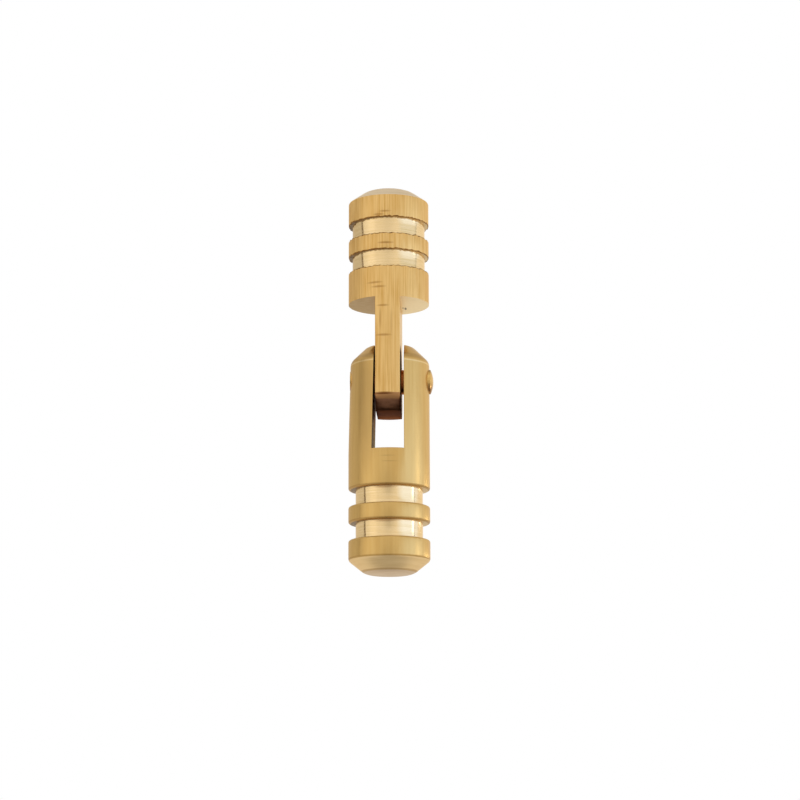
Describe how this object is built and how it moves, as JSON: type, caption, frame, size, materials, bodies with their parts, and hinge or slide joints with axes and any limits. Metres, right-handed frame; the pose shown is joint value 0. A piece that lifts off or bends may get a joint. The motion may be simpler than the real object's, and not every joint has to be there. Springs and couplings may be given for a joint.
{
  "type": "invisible barrel hinge",
  "caption": "Concealed barrel hinge: a grooved brass barrel with a flat tongue pivots on a cross pin in the slot of a matching grooved barrel.",
  "frame": {"origin": "where the hinge pin's axis crosses the barrels' common axis, half way along the straight hinge", "axes": "+Z along the barrels, towards the end of the barrel with the tongue; +X along the hinge pin, towards its domed end; -Y is the front, into which the slot opens"},
  "size_m": [0.0053, 0.0051, 0.0245],
  "materials": {
    "drawn_brass": "drawn bar, satin, with fine lines along the barrel and bright turned grooves",
    "satin_brass": "smooth satin with bright turned grooves",
    "pin_brass": "bright drawn wire with a peened end"
  },
  "bodies": {
    "tongue_half": {"upper_barrel": "drawn_brass"},
    "slotted_half": {"lower_barrel": "satin_brass", "hinge_pin": "pin_brass"}
  },
  "joints": [
    {"name": "barrel_swing", "type": "hinge", "parent": "tongue_half", "child": "slotted_half", "pos_m": [0, 0, 0], "axis": [1, 0, 0], "range_deg": [-120, 120]}
  ]
}
